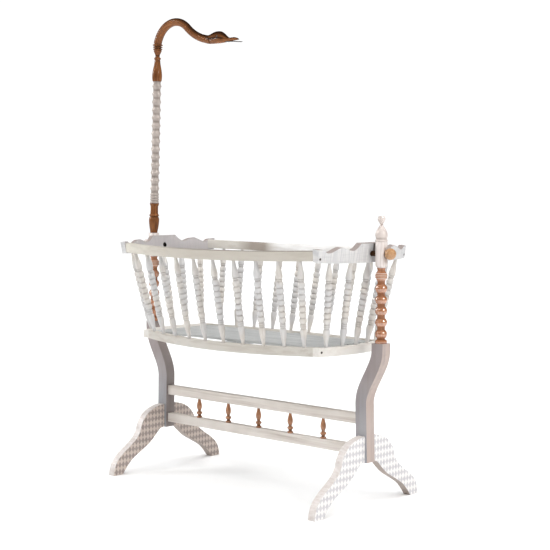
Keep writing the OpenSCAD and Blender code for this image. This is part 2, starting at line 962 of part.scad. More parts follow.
leg(false);  // leg_near
leg(true);  // leg_far
foot(false, false);  // foot_near_front
foot(false, true);  // foot_near_back
foot(true, false);  // foot_far_front
foot(true, true);  // foot_far_back
stretcher(low_stretcher_z, low_stretcher_h);  // stretcher_lower
stretcher(high_stretcher_z, high_stretcher_h);  // stretcher_upper
for (i = [1:5])
    stretcher_spindle(i);
post_turning(false);  // post_turning_near
post_turning(true);  // post_turning_far
bearing_block(false);  // bearing_block_near
bearing_block(true);  // bearing_block_far
finial();
pivot_peg(false);  // pivot_peg_near
pivot_peg(true);  // pivot_peg_far
pole_base();
pole_shaft();
pole_baluster();
swan_neck();
swan_head();
swan_lower_bill();
end_panel(false);  // end_panel_near
end_panel(true);  // end_panel_far
top_rail(false);  // top_rail_front
top_rail(true);  // top_rail_back
bottom_rail(false);  // bottom_rail_front
bottom_rail(true);  // bottom_rail_back
bottom_end_rail(false);  // bottom_end_rail_near
bottom_end_rail(true);  // bottom_end_rail_far
floor_slats();
floor_battens();
corner_screws();
for (i = [1:10]) {
    side_spindle(i, false);
    side_spindle(i, true);
}
end_spindles(false);  // near_end_spindles
end_spindles(true);  // far_end_spindles
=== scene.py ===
import json
import math
import random

import bmesh
import bpy
import numpy as np
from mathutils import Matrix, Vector


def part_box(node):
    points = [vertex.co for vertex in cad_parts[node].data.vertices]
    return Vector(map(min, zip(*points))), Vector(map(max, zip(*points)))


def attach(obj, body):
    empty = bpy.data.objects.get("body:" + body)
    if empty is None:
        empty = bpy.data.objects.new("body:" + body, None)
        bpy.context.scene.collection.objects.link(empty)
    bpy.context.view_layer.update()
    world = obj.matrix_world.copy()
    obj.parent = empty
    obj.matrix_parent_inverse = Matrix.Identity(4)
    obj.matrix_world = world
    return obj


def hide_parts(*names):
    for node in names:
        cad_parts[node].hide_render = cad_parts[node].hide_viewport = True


# Looks of the bassinet on its stand. Metres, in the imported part's own frame:
# +X towards the finial post, -X towards the swan pole, -Y front, +Z up.

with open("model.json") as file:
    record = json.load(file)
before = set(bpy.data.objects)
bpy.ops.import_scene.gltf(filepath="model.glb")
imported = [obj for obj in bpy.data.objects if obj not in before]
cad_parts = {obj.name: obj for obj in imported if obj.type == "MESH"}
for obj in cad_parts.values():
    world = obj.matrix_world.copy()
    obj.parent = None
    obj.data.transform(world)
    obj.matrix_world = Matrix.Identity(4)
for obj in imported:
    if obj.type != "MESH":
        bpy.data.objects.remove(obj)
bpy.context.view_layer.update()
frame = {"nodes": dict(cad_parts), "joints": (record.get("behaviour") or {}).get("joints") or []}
NODES = frame["nodes"]
JOINTS = {joint["name"]: joint for joint in frame["joints"]}
MM = 0.001
chance = random.Random(7)


# ---- meshes ----------------------------------------------------------------

def add_values(mesh, name, values):
    """A number for each vertex, read by the materials."""
    layer = mesh.attributes.new(name, "FLOAT", "POINT")
    layer.data.foreach_set("value", np.asarray(values, np.float32))


def add_vectors(mesh, name, vectors):
    """A vector for each vertex, read by the materials."""
    layer = mesh.attributes.new(name, "FLOAT_VECTOR", "POINT")
    layer.data.foreach_set("vector", np.asarray(vectors, np.float32).ravel())


def make_piece(name, points, faces, values, material, body, slot, nodes=(), sharp=38):
    """A smooth-shaded mesh that rides on a body and stands for CAD nodes."""
    mesh = bpy.data.meshes.new(name)
    mesh.from_pydata([tuple(p) for p in points], [], faces)
    add_vectors(mesh, "grain", values["grain"])
    add_values(mesh, "hollow", values["hollow"])
    add_values(mesh, "upper", values.get("upper", np.zeros(len(points))))
    mesh.shade_smooth()
    mesh.set_sharp_from_angle(angle=math.radians(sharp))
    mesh.materials.append(material)
    piece = bpy.data.objects.new(name, mesh)
    bpy.context.scene.collection.objects.link(piece)
    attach(piece, body)
    if nodes:
        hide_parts(*nodes)
    return piece


def ring_faces(rings, around):
    """Quads between neighbouring rings of points, and one flat face at each end."""
    faces = []
    for i in range(rings - 1):
        for j in range(around):
            k = (j + 1) % around
            faces.append((i * around + j, i * around + k, (i + 1) * around + k, (i + 1) * around + j))
    faces.append(tuple(reversed(range(around))))
    faces.append(tuple((rings - 1) * around + j for j in range(around)))
    return faces


def hollows(profile, reach, full=4.5 * MM):
    """How deep each point of a turned outline lies below the wood on both sides of it."""
    radius = np.array([p[0] for p in profile])
    height = np.array([p[1] for p in profile])
    deep = np.zeros(len(profile))
    for i, z in enumerate(height):
        near = np.abs(height - z) < reach
        below = radius[near & (height <= z)].max()
        above = radius[near & (height >= z)].max()
        deep[i] = min(below, above) - radius[i]
    return np.clip(deep / full, 0, 1)


def turned(profile, foot, head, around=28, reach=9 * MM):
    """Points, faces and values of an outline [(radius, height)...] turned about foot to head."""
    axis = (head - foot).normalized()
    turn = Vector((0, 0, 1)).rotation_difference(axis).to_matrix()
    shift = chance.uniform(0, 5)
    points, grain, hollow = [], [], []
    for (radius, height), deep in zip(profile, hollows(profile, reach)):
        for j in range(around):
            angle = math.tau * j / around
            flat = Vector((radius * math.cos(angle), radius * math.sin(angle), height))
            points.append(foot + turn @ flat)
            grain.append((flat.x + shift, flat.y + shift, flat.z + shift))
            hollow.append(deep)
    return points, ring_faces(len(profile), around), {"grain": grain, "hollow": hollow}


def joined(parts):
    """Several (points, faces, values) as one."""
    points, faces, values = [], [], {}
    for part_points, part_faces, part_values in parts:
        start = len(points)
        points += part_points
        faces += [tuple(start + i for i in face) for face in part_faces]
        for name, numbers in part_values.items():
            values.setdefault(name, []).extend(numbers)
    return points, faces, values


# ---- turned outlines -------------------------------------------------------

def smooth_line(knots, steps=5):
    """Catmull-Rom curve through (radius, height) points."""
    line = []
    for i in range(len(knots) - 1):
        a = Vector(knots[max(0, i - 1)])
        b, c = Vector(knots[i]), Vector(knots[i + 1])
        d = Vector(knots[min(len(knots) - 1, i + 2)])
        for s in range(steps):
            t = s / steps
            line.append(tuple(
                b + t * (c - a) / 2
                + t * t * (2 * a - 5 * b + 4 * c - d) / 2
                + t ** 3 * (3 * b - a - 3 * c + d) / 2))
    line.append(tuple(knots[-1]))
    return line


def bead(z, belly, neck, half, steps=10):
    """Round bead that bulges from the neck radius to the belly radius."""
    stretch = half / math.sqrt(1 - (neck / belly) ** 2)
    line = []
    for i in range(steps + 1):
        offset = -half * math.cos(math.pi * i / steps)
        line.append((belly * math.sqrt(1 - (offset / stretch) ** 2), z + offset))
    return line


def small_ring(z, belly, neck, half, steps=4):
    """Half-round ring between two square necks."""
    return [(neck + (belly - neck) * math.sin(math.pi * i / steps) ** 0.6,
             z - half * math.cos(math.pi * i / steps)) for i in range(steps + 1)]


def bobbin(z, belly, neck, half, steps=5):
    """Bobbin with a crisp equator that falls in a cove to the neck on each side."""
    line = []
    for i in range(-steps, steps + 1):
        fall = abs(i) / steps
        line.append((belly - (belly - neck) * math.sin(math.pi / 2 * fall) ** 1.15, z + half * i / steps))
    return line


def scaled(knots, shift=0.0):
    """Knots in millimetres to metres, moved along the axis."""
    return [(r * MM, z * MM + shift) for r, z in knots]


# ---- node materials --------------------------------------------------------

def tone(code):
    """Linear colour from a #rrggbb code."""
    parts = [int(code[i:i + 2], 16) / 255 for i in (1, 3, 5)]
    return [p / 12.92 if p < 0.04045 else ((p + 0.055) / 1.055) ** 2.4 for p in parts] + [1]


class Finish:
    """A node material being built; most methods add a node and return one of its outputs."""

    def __init__(self, name):
        self.material = bpy.data.materials.new(name)
        self.material.use_nodes = True
        self.tree = self.material.node_tree
        self.tree.nodes.clear()
        self.shader = self.tree.nodes.new("ShaderNodeBsdfPrincipled")
        output = self.tree.nodes.new("ShaderNodeOutputMaterial")
        self.tree.links.new(self.shader.outputs["BSDF"], output.inputs["Surface"])

    def put(self, socket, value):
        if isinstance(value, bpy.types.NodeSocket):
            self.tree.links.new(value, socket)
        else:
            socket.default_value = value

    def node(self, kind, out, inputs, **settings):
        made = self.tree.nodes.new("ShaderNode" + kind)
        for name, value in settings.items():
            setattr(made, name, value)
        for key, value in inputs.items():
            self.put(made.inputs[key], value)
        return made.outputs[out]

    def spot(self):
        return self.node("TexCoord", "Object", {})

    def grain_spot(self):
        return self.node("Attribute", "Vector", {}, attribute_name="grain")

    def value(self, name):
        return self.node("Attribute", "Fac", {}, attribute_name=name)

    def stretch(self, spot, scale):
        return self.node("Mapping", "Vector", {"Vector": spot, "Scale": scale})

    def noise(self, spot, scale, detail=3.0, rough=0.55, twist=0.0):
        return self.node("TexNoise", "Fac", {
            "Vector": spot, "Scale": scale, "Detail": detail, "Roughness": rough, "Distortion": twist})

    def spread(self, value, low, high, to_low=0.0, to_high=1.0):
        return self.node("MapRange", "Result", {
            "Value": value, "From Min": low, "From Max": high, "To Min": to_low, "To Max": to_high})

    def maths(self, operation, a, b=0.0):
        return self.node("Math", 0, {0: a, 1: b}, operation=operation)

    def split(self, vector):
        made = self.tree.nodes.new("ShaderNodeSeparateXYZ")
        self.put(made.inputs[0], vector)
        return made.outputs

    def mix(self, factor, a, b):
        return self.node("Mix", 2, {0: factor, 6: a, 7: b}, data_type="RGBA")

    def normal(self):
        return self.node("NewGeometry", "Normal", {})

    def dent(self, height, strength, depth):
        self.put(self.shader.inputs["Normal"], self.node("Bump", "Normal", {
            "Height": height, "Strength": strength, "Distance": depth}))

    def finish(self, colour, roughness, **sockets):
        self.put(self.shader.inputs["Base Color"], colour)
        self.put(self.shader.inputs["Roughness"], roughness)
        for name, value in sockets.items():
            self.put(self.shader.inputs[name.replace("_", " ")], value)
        return self.material


def painted_board(name, paint, shade, along, warm=None):
    """Thin wash of paint over wood, the grain just showing along one axis of the object."""
    f = Finish(name)
    spot = f.spot()
    scale = [70.0, 70.0, 70.0]
    scale[along] = 2.5
    grain = f.noise(f.stretch(spot, scale), 1.0, 4.0, 0.6, 0.4)
    cloud = f.noise(spot, 9.0, 2.0)
    colour = f.mix(f.spread(grain, 0.48, 0.72, 0.0, 0.8), tone(paint), tone(shade))
    colour = f.mix(f.spread(cloud, 0.35, 0.7, 0.0, 0.35), colour, tone(warm or shade))
    f.dent(grain, 0.25, 0.0006)
    return f.finish(colour, f.spread(grain, 0.3, 0.7, 0.42, 0.58), Specular_IOR_Level=0.4)


def painted_turning(name, paint, shade, crevice, gloss=0.38, cool=None, pin=None):
    """Brushed paint on turned wood, with painted shade darkening it where the turning dips."""
    f = Finish(name)
    spot = f.grain_spot()
    grain = f.noise(f.stretch(spot, (150.0, 150.0, 9.0)), 1.0, 3.0, 0.6)
    cloud = f.noise(spot, 40.0, 2.0)
    colour = f.mix(f.spread(grain, 0.45, 0.75, 0.0, 0.7), tone(paint), tone(shade))
    colour = f.mix(f.spread(cloud, 0.4, 0.75, 0.0, 0.4), colour, tone(shade))
    if cool:
        colour = f.mix(f.spread(f.noise(f.spot(), 11.0, 1.0), 0.42, 0.58, 0.0, 0.7), colour, tone(cool))
    # Painted shade: the paint goes towards the crevice colour where the turning dips, by how deep the point
    # lies.
    wear_and_shade = f.maths("MULTIPLY", f.value("hollow"), f.spread(cloud, 0.3, 0.7, 0.45, 0.95))
    colour = f.mix(wear_and_shade, colour, tone(crevice))
    # Painted shade: where "upper" is high the pin colour darkens the paint; on the pale knob this is the pin
    # inside the panel's hole.
    if pin:
        colour = f.mix(f.value("upper"), colour, tone(pin))
    f.dent(grain, 0.2, 0.0004)
    return f.finish(colour, f.spread(cloud, 0.3, 0.7, gloss, gloss + 0.14), Specular_IOR_Level=0.45)


def varnished(name, pale, deep, dark, gloss, ring=0.55, top=None, groove=0.75, coat=0.3, shine=0.3):
    """Clear-varnished wood with streaks along the grain, darkened in the grooves as painted shade.

    Where a piece's "upper" value is high, top tints the wood and the varnish has no shine; on the swan's
    upward side and on the pegs' pins this tint is painted shade.
    """
    f = Finish(name)
    spot = f.grain_spot()
    streak = f.noise(f.stretch(spot, (240.0, 240.0, 14.0)), 1.0, 5.0, 0.65, 0.6)
    broad = f.noise(f.stretch(spot, (60.0, 60.0, 10.0)), 1.0, 2.0)
    pores = f.noise(f.stretch(spot, (900.0, 900.0, 60.0)), 1.0, 2.0)
    colour = f.mix(f.spread(streak, 0.35, 0.68), tone(pale), tone(deep))
    colour = f.mix(f.spread(broad, 0.4, 0.75, 0.0, ring), colour, tone(deep))
    colour = f.mix(f.spread(pores, 0.62, 0.8, 0.0, 0.5), colour, tone(dark))
    # Painted shade: darker in the grooves, by how deep the point lies.
    colour = f.mix(f.maths("MULTIPLY", f.value("hollow"), groove), colour, tone(dark))
    # Painted shade where top is dark: the swan's upward side and the pegs' pins; on the post it is the
    # whitish groove tint.
    if top:
        colour = f.mix(f.spread(f.value("upper"), 0.15, 0.75, 0.0, 0.9), colour, tone(top))
    f.dent(streak, 0.12, 0.0003)
    lit = f.spread(f.value("upper"), 0.0, 0.35, 1.0, 0.0)
    clear = f.maths("MULTIPLY", f.spread(f.value("hollow"), 0.05, 0.4, coat, 0.0), lit)
    return f.finish(colour, f.spread(streak, 0.3, 0.7, gloss, gloss + 0.12),
                    Specular_IOR_Level=f.maths("MULTIPLY", lit, shine),
                    Coat_Weight=clear, Coat_Roughness=0.03, Coat_IOR=2.0)


def top_rail_paint():
    """Rail paint, paler towards the far end as painted light and grey-brown on its top faces as painted
    shade; the back rail's inner face carries a painted shade band and pales to the near end as a painted
    reflection.
    """
    f = Finish("top_rail_paint")
    spot = f.spot()
    x, y = f.split(spot)[:2]
    facing = f.split(f.normal())
    grain = f.noise(f.stretch(spot, (2.5, 70.0, 70.0)), 1.0, 4.0, 0.6, 0.4)
    cloud = f.noise(spot, 9.0, 2.0)
    # Painted light: the rail is paler towards the far end and darker from the middle to the near end.
    colour = f.mix(f.spread(x, -0.42, -0.12), tone("#d5d0c4"), tone("#bcb5aa"))
    # Painted shade and painted reflection on the back rail's inner face: a brown shade band, then near-white
    # glare towards the near end.
    brown = f.maths("MULTIPLY", f.spread(x, -0.31, -0.25), f.spread(x, -0.14, -0.2))
    inner = f.mix(brown, tone("#cfcac2"), tone("#94887d"))
    inner = f.mix(f.spread(x, -0.19, -0.13), inner, tone("#fdfcfb"))
    back = f.maths("MULTIPLY", f.spread(y, -0.05, 0.05), f.spread(facing[1], -0.5, -0.9))
    colour = f.mix(back, colour, inner)
    colour = f.mix(f.spread(grain, 0.46, 0.72, 0.0, 0.45), colour, tone("#a89e92"))
    colour = f.mix(f.spread(cloud, 0.35, 0.7, 0.0, 0.25), colour, tone("#c8c4bb"))
    # Painted shade: the top faces go grey-brown, more so towards the near end.
    top = f.maths("MULTIPLY", f.spread(facing[2], 0.5, 0.85), f.spread(x, -0.3, 0.0, 0.25, 0.85))
    colour = f.mix(top, colour, tone("#7f766e"))
    f.dent(grain, 0.25, 0.0006)
    return f.finish(colour, f.spread(grain, 0.3, 0.7, 0.42, 0.58), Specular_IOR_Level=0.4)


def leg_taupe():
    """Satin taupe wash, bluer lower down; faces towards +X warmer and paler as painted light, and the inner
    face of the far leg brown as painted shade.
    """
    f = Finish("leg_taupe")
    spot = f.spot()
    x, _, z = f.split(spot)[:3]
    facing = f.split(f.normal())[0]
    grain = f.noise(f.stretch(spot, (80.0, 80.0, 4.0)), 1.0, 4.0, 0.6, 0.5)
    cloud = f.noise(spot, 7.0, 2.0)
    colour = f.mix(f.spread(z, 0.16, 0.42), tone("#9a9ea4"), tone("#8e8483"))
    # Painted light: faces towards +X are warmer and paler.
    colour = f.mix(f.spread(facing, 0.5, 0.9), colour, tone("#b4a299"))
    # Painted shade: the far leg's face towards the basket is browner and darker.
    inner = f.maths("MULTIPLY", f.spread(facing, 0.5, 0.9), f.spread(x, 0.05, -0.05))
    colour = f.mix(inner, colour, tone("#7d7370"))
    colour = f.mix(f.spread(grain, 0.42, 0.72, 0.0, 0.55), colour, tone("#857a78"))
    colour = f.mix(f.spread(cloud, 0.45, 0.75, 0.0, 0.3), colour, tone("#c2b9b6"))
    f.dent(grain, 0.2, 0.0005)
    return f.finish(colour, f.spread(cloud, 0.3, 0.7, 0.34, 0.48), Specular_IOR_Level=0.4)


DIAMOND_W = 15 * MM
DIAMOND_H = 23 * MM


def harlequin():
    """Hand-painted diamonds on the broad faces of the feet and plain paint on their edges."""
    f = Finish("harlequin")
    spot = f.spot()
    x, y, z = f.split(spot)[:3]
    wobble = f.noise(spot, 45.0, 2.0)
    shaky = f.spread(wobble, 0.3, 0.7, -0.06, 0.06)
    across = f.maths("ADD", f.maths("DIVIDE", y, DIAMOND_W), shaky)
    up = f.maths("DIVIDE", z, DIAMOND_H)
    rising = f.maths("ADD", across, up)
    falling = f.maths("SUBTRACT", across, up)
    checks = f.node("CombineXYZ", 0, {0: rising, 1: falling, 2: 0.5})
    diamond = f.node("TexChecker", "Fac", {"Vector": checks, "Scale": 1.0})
    brushed = f.noise(f.stretch(spot, (60.0, 220.0, 60.0)), 1.0, 3.0)
    diamond = f.maths("MULTIPLY", diamond, f.spread(brushed, 0.25, 0.7, 1.0, 0.62))
    near = f.spread(x, -0.05, 0.05)
    light = f.mix(near, tone("#cdbeb4"), tone("#e9e6e4"))
    dark = f.mix(near, tone("#8d817d"), tone("#bcb9bd"))
    faces = f.mix(diamond, light, dark)
    edges = f.mix(f.spread(brushed, 0.35, 0.7), tone("#d6d0cd"), tone("#c4bab4"))
    broad_side = f.spread(f.maths("ABSOLUTE", f.split(f.normal())[0]), 0.6, 0.8)
    colour = f.mix(broad_side, edges, faces)
    # Painted shade: the undersides of the feet are darker.
    under = f.spread(f.split(f.normal())[2], -0.25, -0.6)
    colour = f.mix(under, colour, tone("#a3968e"))
    f.dent(brushed, 0.15, 0.0004)
    return f.finish(colour, f.spread(wobble, 0.3, 0.7, 0.4, 0.55), Specular_IOR_Level=0.4)


SWING_AXIS = (0.0, 0.0, JOINTS["basket_swing"]["pos_m"][2])
HOLE_EDGE = 8.1 * MM
HOLE_BLUR = 0.25 * MM


def striped_panel():
    """Dragged glaze on the end panels: fine upright lines crossed by fainter level ones.

    The peg's hole is painted dark as shade, and a painted shadow of the bearing block darkens a strip on the
    outer face behind it.
    """
    f = Finish("striped_panel")
    spot = f.spot()
    x, y, z = f.split(spot)[:3]
    facing = f.split(f.normal())[0]
    lines = f.noise(f.stretch(spot, (20.0, 440.0, 12.0)), 1.0, 2.0)
    cross = f.noise(f.stretch(spot, (20.0, 14.0, 520.0)), 1.0, 2.0)
    cloud = f.noise(spot, 16.0, 2.0)
    colour = f.mix(f.spread(lines, 0.42, 0.62), tone("#d6d4d2"), tone("#bdbcbd"))
    colour = f.mix(f.spread(cross, 0.48, 0.66, 0.0, 0.4), colour, tone("#b4b3b4"))
    colour = f.mix(f.spread(cloud, 0.4, 0.7, 0.0, 0.4), colour, tone("#cccccf"))
    # Painted shade on the far panel's inner face.
    inside = f.maths("MULTIPLY", f.spread(x, 0.05, -0.05), f.spread(facing, 0.5, 0.9))
    colour = f.mix(f.maths("MULTIPLY", inside, 0.75), colour, tone("#aaa3a3"))
    # Painted shade on the up-facing top edges.
    level = f.spread(f.split(f.normal())[2], 0.25, 0.5, 0.0, 0.85)
    colour = f.mix(level, colour, tone("#8f817b"))
    outer = f.spread(f.maths("MULTIPLY", facing, f.maths("SIGN", x)), 0.5, 0.8)
    behind_block = f.maths("MULTIPLY", f.spread(y, 0.002, 0.005), f.spread(y, 0.03, 0.022))
    # Painted shade: the peg's hole is painted near-black.
    on_face = f.node("CombineXYZ", 0, {0: 0.0, 1: y, 2: z})
    from_axis = f.node("VectorMath", "Value", {0: on_face, 1: SWING_AXIS}, operation="DISTANCE")
    colour = f.mix(f.spread(from_axis, HOLE_EDGE + HOLE_BLUR, HOLE_EDGE), colour, tone("#150e0c"))
    # Painted shadow of the bearing block on the outer face, weaker lower down.
    strip = f.maths("MULTIPLY", outer, behind_block)
    block_shadow = f.maths("MULTIPLY", strip, f.spread(z, 0.765, 0.775, 0.45, 0.93))
    colour = f.mix(block_shadow, colour, tone("#32241f"))
    f.dent(f.maths("ADD", lines, cross), 0.2, 0.0004)
    return f.finish(colour, f.spread(cloud, 0.3, 0.7, 0.45, 0.6), Specular_IOR_Level=0.35)


def floor_board():
    """Blue-grey slats with long brush lines."""
    f = Finish("floor_board")
    spot = f.spot()
    lines = f.noise(f.stretch(spot, (4.0, 260.0, 90.0)), 1.0, 3.0, 0.6)
    cloud = f.noise(spot, 12.0, 2.0)
    colour = f.mix(f.spread(lines, 0.4, 0.66), tone("#b9bab9"), tone("#8f9191"))
    colour = f.mix(f.spread(cloud, 0.4, 0.7, 0.0, 0.4), colour, tone("#a6a7a6"))
    f.dent(lines, 0.25, 0.0005)
    return f.finish(colour, f.spread(cloud, 0.3, 0.7, 0.4, 0.55), Specular_IOR_Level=0.4)


def dark_metal():
    """Browned screw heads."""
    f = Finish("dark_metal")
    wear = f.noise(f.spot(), 900.0, 3.0)
    colour = f.mix(f.spread(wear, 0.4, 0.7), tone("#2b2220"), tone("#4a3c37"))
    return f.finish(colour, f.spread(wear, 0.3, 0.7, 0.4, 0.65), Metallic=0.6)


def near_black(name, base, wear_and_shade):
    """Ebonised wood of the lower bill and the eyes."""
    f = Finish(name)
    streak = f.noise(f.stretch(f.grain_spot(), (300.0, 300.0, 40.0)), 1.0, 3.0)
    colour = f.mix(f.spread(streak, 0.45, 0.75), tone(base), tone(wear_and_shade))
    return f.finish(colour, f.spread(streak, 0.3, 0.7, 0.22, 0.4), Coat_Weight=0.4, Coat_Roughness=0.1)


CREAM = painted_turning("cream_turning", "#d3cec8", "#b6aea6", "#73685f", cool="#c4c4c6")
WHITE = painted_turning("white_turning", "#b8ada6", "#958981", "#54483f", 0.28)
HONEY = varnished("honey_turning", "#c38a66", "#97603f", "#5c3520", 0.18, 0.5, "#d8c8bd", 0.5, 1.0)
# The near-black last colour of golden_oak and the pin colour of pale_knob are painted shade on the pegs'
# pins.
OAK = varnished("golden_oak", "#c2986f", "#a3764c", "#6d4423", 0.3, 0.4, "#1d120e")
PALE_KNOB = painted_turning("pale_knob", "#dcd3cf", "#c6bab4", "#8d8079", pin="#1d120e")
SPINDLE_WOOD = varnished("small_turning", "#c08d68", "#925f40", "#4f3322", 0.26)
# Painted shade: the walnut's near-black top colour darkens the swan's upward-facing side.
WALNUT = varnished("walnut", "#96613a", "#5c361f", "#1f110b", 0.2, 0.6, "#1e130e", 1.0, 0.05, 0.08)
EBONY = near_black("dark_bill", "#1f1c1b", "#3f342e")


# ---- CAD nodes that stay ---------------------------------------------------

def dress(node, material, edge=1.2 * MM):
    """A CAD node with a new material and softened edges."""
    piece = NODES[node]
    piece.data.materials.clear()
    piece.data.materials.append(material)
    weld = piece.modifiers.new("weld", "WELD")
    weld.merge_threshold = 0.02 * MM
    if edge:
        bevel = piece.modifiers.new("soft_edges", "BEVEL")
        bevel.width = edge
        bevel.segments = 2
        bevel.limit_method = "ANGLE"
        bevel.angle_limit = math.radians(40)
        bevel.miter_outer = "MITER_ARC"


RAIL_X = painted_board("rail_along_x", "#c3beb6", "#a89e93", 0, "#b5afa6")
TOP_RAIL = top_rail_paint()
RAIL_Y = painted_board("rail_along_y", "#dad6d0", "#c8bfb6", 1, "#cecac4")
STRETCHER = painted_board("limed_stretcher", "#dfd8d1", "#a8998d", 0, "#c0b4a9")
LEG = leg_taupe()
FOOT = harlequin()
PANEL = striped_panel()
SLAT = floor_board()

for end in ("near", "far"):
    dress(f"leg_{end}", LEG)
    dress(f"foot_{end}_front", FOOT)
    dress(f"foot_{end}_back", FOOT)
    dress(f"end_panel_{end}", PANEL, 0.8 * MM)
    dress(f"bottom_end_rail_{end}", RAIL_Y)
for side in ("front", "back"):
    dress(f"top_rail_{side}", TOP_RAIL)
    dress(f"bottom_rail_{side}", RAIL_X)
for level in ("lower", "upper"):
    dress(f"stretcher_{level}", STRETCHER)
dress("floor_slats", SLAT, 0.6 * MM)
dress("floor_battens", SLAT, 0)
dress("corner_screws", dark_metal(), 0)


# ---- where the turnings stand ----------------------------------------------

def islands(node):
    """The separate solids of a CAD node, each as an array of points."""
    mesh = bmesh.new()
    mesh.from_mesh(NODES[node].data)
    bmesh.ops.remove_doubles(mesh, verts=mesh.verts, dist=0.02 * MM)
    left = set(mesh.verts)
    found = []
    while left:
        edge_of_group = [left.pop()]
        group = list(edge_of_group)
        while edge_of_group:
            vertex = edge_of_group.pop()
            for edge in vertex.link_edges:
                other = edge.other_vert(vertex)
                if other in left:
                    left.remove(other)
                    edge_of_group.append(other)
                    group.append(other)
        found.append(np.array([v.co for v in group], float))
    mesh.free()
    return sorted(found, key=lambda points: tuple(points.mean(0).round(3)))


def ends_of(points):
    """Foot and head of a turned solid: the middles of the two flat ends of its tenons."""
    centre = points.mean(0)
    axis = np.linalg.svd(points - centre, full_matrices=False)[2][0]
    axis = axis * np.sign(axis[2])
    along = (points - centre) @ axis
    foot = points[along < along.min() + 0.3 * MM].mean(0)
    head = points[along > along.max() - 0.3 * MM].mean(0)
    return Vector(foot), Vector(head)


# ---- basket spindles -------------------------------------------------------

TENON_L = 9 * MM
TENON_R = 4 * MM
BEAD_R = 11.5 * MM
BEADS = 7


def spindle_outline(length):
    """Vase, two rings, seven beads, ring and upturned vase, by share of the length."""
    pitch = 0.0685 * length
    first = 0.315 * length
    vase = [(5, 0.004), (5.6, 0.03), (7.2, 0.08), (9.2, 0.13), (10.4, 0.172), (10.3, 0.2), (8.6, 0.219)]
    line = [(TENON_R, -TENON_L), (TENON_R, 0)]
    line += smooth_line([(r * MM, share * length) for r, share in vase])
    line += [(7.4 * MM, 0.224 * length)]
    line += small_ring(0.24 * length, 9.8 * MM, 7.6 * MM, 0.010 * length)
    line += small_ring(0.263 * length, 9.8 * MM, 7.6 * MM, 0.011 * length)
    for i in range(BEADS):
        line += bead(first + i * pitch, BEAD_R, 8.3 * MM, 0.495 * pitch)
    line += small_ring(0.784 * length, 9.8 * MM, 7.4 * MM, 0.009 * length)
    vase = [(8.4, 0.797), (10.2, 0.806), (10.6, 0.828), (9.7, 0.865), (7.7, 0.91), (6, 0.955), (5, 0.996)]
    line += smooth_line([(r * MM, share * length) for r, share in vase])
    line += [(TENON_R, length), (TENON_R, length + TENON_L)]
    return line


def basket_spindle(points):
    """One turned spindle in the place of a CAD one."""
    foot, head = ends_of(points)
    axis = (head - foot).normalized()
    length = (head - foot).length - 2 * TENON_L
    return turned(spindle_outline(length), foot + axis * TENON_L, head)


def make_basket_spindles():
    """Ten spindles a side, a piece each, and five at each end that share one CAD node."""
    for side in ("front", "back"):
        for i in range(1, 11):
            node = f"spindle_{side}_{i}"
            parts = [basket_spindle(points) for points in islands(node)]
            make_piece(f"turned_{node}", *joined(parts), CREAM, "basket", "cream_spindles", [node])
    for end in ("near", "far"):
        node = f"{end}_end_spindles"
        for i, points in enumerate(islands(node)):
            make_piece(f"turned_{end}_end_spindle_{i + 1}", *basket_spindle(points), CREAM,
                       "basket", "cream_spindles", [node])


# ---- stretcher spindles ----------------------------------------------------

SMALL_TENON_L = 8 * MM
SMALL_TENON_R = 3 * MM


def small_outline(length):
    """Little baluster: round foot, ring, waist and a long bulb that thins to the top."""
    foot = [(9.3, 1.2), (9.6, 3), (9.2, 4.8), (6, 6.4)]
    lower = [(5.2, 8.5), (6.6, 11.5), (9.3, 14.5), (9.8, 17), (8.8, 19.4), (6, 21.6)]
    upper = [(5, 23.8), (6.2, 28), (8.4, 34), (9, 40), (8.2, 46.5), (6.3, 54), (5, 60), (4.6, 64), (4.6, 66)]
    line = [(SMALL_TENON_R, -SMALL_TENON_L), (SMALL_TENON_R, 0), (8.4 * MM, 0)]
    for knots in (foot, lower, upper):
        line += [(r, z * length / (66 * MM)) for r, z in smooth_line(scaled(knots), 4)]
    line += [(SMALL_TENON_R, length), (SMALL_TENON_R, length + SMALL_TENON_L)]
    return line


def make_stretcher_spindles():
    """Five little balusters between the stretchers."""
    for i in range(1, 6):
        node = f"stretcher_spindle_{i}"
        foot, head = ends_of(islands(node)[0])
        length = (head - foot).length - 2 * SMALL_TENON_L
        foot.z += SMALL_TENON_L
        make_piece(f"turned_{node}", *turned(small_outline(length), foot, head), SPINDLE_WOOD,
                   "stand", "honey_turnings", [node])


# ---- posts -----------------------------------------------------------------

POST_BEAD_R = 18.5 * MM
POST_NECK_R = 12 * MM
POST_BEAD_HALF = 12.7 * MM
# Heights above the floor of the middles of the balls and of the ringed bead
POST_BEADS = [534 * MM, 569 * MM, 603.5 * MM, 637 * MM, 671 * MM]
RINGED_BEAD_Z = 710 * MM
POST_AROUND = 48
POST_GROOVE_REACH = 16 * MM


